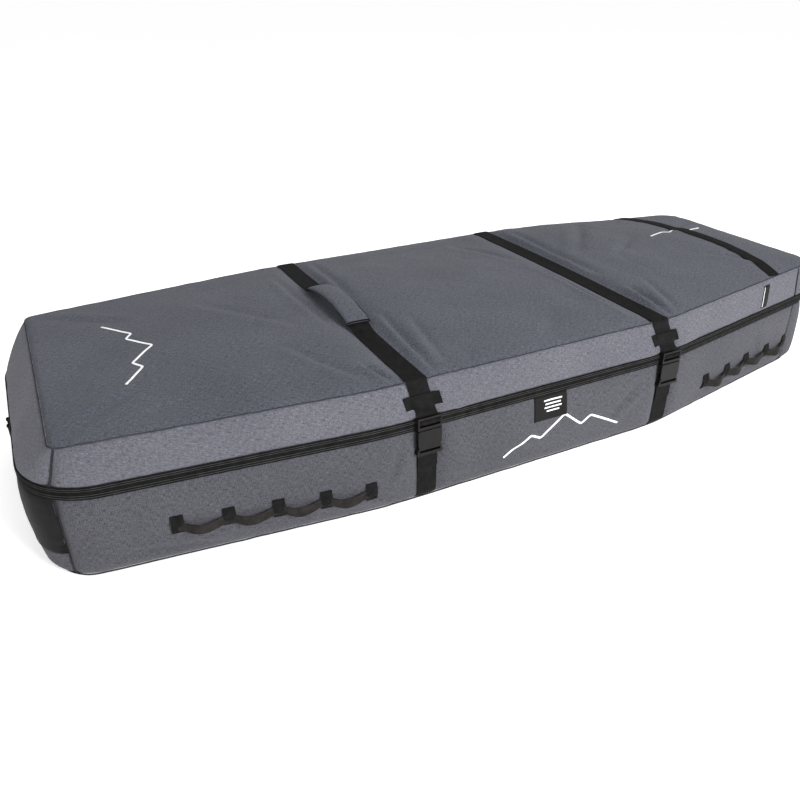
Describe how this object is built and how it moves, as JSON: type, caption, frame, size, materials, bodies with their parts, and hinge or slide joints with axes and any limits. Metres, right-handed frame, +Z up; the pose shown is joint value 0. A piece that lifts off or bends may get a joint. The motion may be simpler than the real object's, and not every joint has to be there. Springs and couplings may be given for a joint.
{
  "type": "snowboard bag",
  "caption": "Long padded board bag tapering to both ends, with a deep base, a zipped hinged lid, two buckled straps, a carry handle and webbing hand loops.",
  "frame": {"origin": "on the ground under the middle of the closed bag", "axes": "+X from the tail end to the nose end, -Y to the front where the straps are buckled, +Z up"},
  "size_m": [1.7085, 0.6661, 0.2848],
  "materials": {
    "heather_cloth": "heather grey woven polyester, matt",
    "coated_cloth": "black coated cloth, low sheen",
    "webbing": "black woven polyester webbing",
    "foam": "closed-cell foam behind lining cloth",
    "black_plastic": "satin moulded acetal"
  },
  "bodies": {
    "base": {"base_floor": "coated_cloth", "floor_foam": "foam", "front_wall": "heather_cloth", "back_wall": "heather_cloth", "nose_wall": "heather_cloth", "tail_wall": "heather_cloth", "tail_panel": "coated_cloth", "lower_zip_tape": "webbing", "hinge_strip": "coated_cloth", "strap_1_front": "webbing", "strap_2_front": "webbing", "strap_1_back": "webbing", "strap_2_back": "webbing", "tail_loops_webbing": "webbing", "nose_loops_webbing": "webbing", "ring_tab": "webbing", "care_label": "coated_cloth", "tail_loops_tab_1": "webbing", "tail_loops_tab_2": "webbing", "tail_loops_tab_3": "webbing", "tail_loops_tab_4": "webbing", "tail_loops_tab_5": "webbing", "nose_loops_tab_1": "webbing", "nose_loops_tab_2": "webbing", "nose_loops_tab_3": "webbing", "nose_loops_tab_4": "webbing", "nose_loops_tab_5": "webbing"},
    "lid": {"lid_top_panel": "heather_cloth", "lid_foam": "foam", "lid_front_gusset": "heather_cloth", "lid_back_gusset": "heather_cloth", "lid_nose_gusset": "heather_cloth", "lid_tail_gusset": "heather_cloth", "upper_zip_tape": "webbing", "strap_1_top": "webbing", "strap_2_top": "webbing", "keeper_1": "webbing", "keeper_2": "webbing", "handle_grip": "heather_cloth", "nose_strap": "webbing", "size_label": "coated_cloth", "latch_1": "black_plastic", "latch_2": "black_plastic"},
    "socket_1": {"socket_1": "black_plastic"},
    "prong_1_left": {"prong_1_left": "black_plastic"},
    "prong_1_right": {"prong_1_right": "black_plastic"},
    "zip_slider_1": {"zip_slider_1": "black_plastic"},
    "zip_pull_1": {"zip_pull_1": "webbing"},
    "socket_2": {"socket_2": "black_plastic"},
    "prong_2_left": {"prong_2_left": "black_plastic"},
    "prong_2_right": {"prong_2_right": "black_plastic"},
    "zip_slider_2": {"zip_slider_2": "black_plastic"},
    "zip_pull_2": {"zip_pull_2": "webbing"},
    "d_ring": {"d_ring": "black_plastic"}
  },
  "joints": [
    {"name": "lid_hinge", "type": "hinge", "parent": "base", "child": "lid", "pos_m": [0, 0.329, 0.158], "axis": [-1, 0, 0], "range_deg": [0, 160]},
    {"name": "buckle_1_release", "type": "slide", "parent": "base", "child": "socket_1", "axis": [0, 0, -1], "range_m": [0, 0.04]},
    {"name": "prong_1_left_squeeze", "type": "hinge", "parent": "lid", "child": "prong_1_left", "pos_m": [-0.241, -0.33345, 0.1494], "axis": [0, -1, 0], "range_deg": [0, 6], "stiffness_Nm_per_rad": 1},
    {"name": "prong_1_right_squeeze", "type": "hinge", "parent": "lid", "child": "prong_1_right", "pos_m": [-0.212, -0.33345, 0.1494], "axis": [0, 1, 0], "range_deg": [0, 6], "stiffness_Nm_per_rad": 1},
    {"name": "buckle_2_release", "type": "slide", "parent": "base", "child": "socket_2", "axis": [0, 0, -1], "range_m": [0, 0.04]},
    {"name": "prong_2_left_squeeze", "type": "hinge", "parent": "lid", "child": "prong_2_left", "pos_m": [0.2955, -0.33178, 0.1494], "axis": [0, -1, 0], "range_deg": [0, 6], "stiffness_Nm_per_rad": 1},
    {"name": "prong_2_right_squeeze", "type": "hinge", "parent": "lid", "child": "prong_2_right", "pos_m": [0.3245, -0.33178, 0.1494], "axis": [0, 1, 0], "range_deg": [0, 6], "stiffness_Nm_per_rad": 1},
    {"name": "zip_1_slide", "type": "slide", "parent": "base", "child": "zip_slider_1", "axis": [0, 1, 0], "range_m": [0, 0.13]},
    {"name": "zip_pull_1_swing", "type": "hinge", "parent": "zip_slider_1", "child": "zip_pull_1", "pos_m": [-0.856, 0.012, 0.158], "axis": [0, 1, 0], "range_deg": [0, 160]},
    {"name": "zip_2_slide", "type": "slide", "parent": "base", "child": "zip_slider_2", "axis": [0, -1, 0], "range_m": [0, 0.13]},
    {"name": "zip_pull_2_swing", "type": "hinge", "parent": "zip_slider_2", "child": "zip_pull_2", "pos_m": [-0.856, -0.012, 0.158], "axis": [0, 1, 0], "range_deg": [0, 160]},
    {"name": "d_ring_swing", "type": "hinge", "parent": "base", "child": "d_ring", "pos_m": [-0.85137, -0.145, 0.088], "axis": [0, 1, 0], "range_deg": [0, 150]}
  ],
  "couplings": [
    {"joint": "prong_1_right_squeeze", "follows": "prong_1_left_squeeze", "ratio": 1},
    {"joint": "prong_2_right_squeeze", "follows": "prong_2_left_squeeze", "ratio": 1}
  ]
}
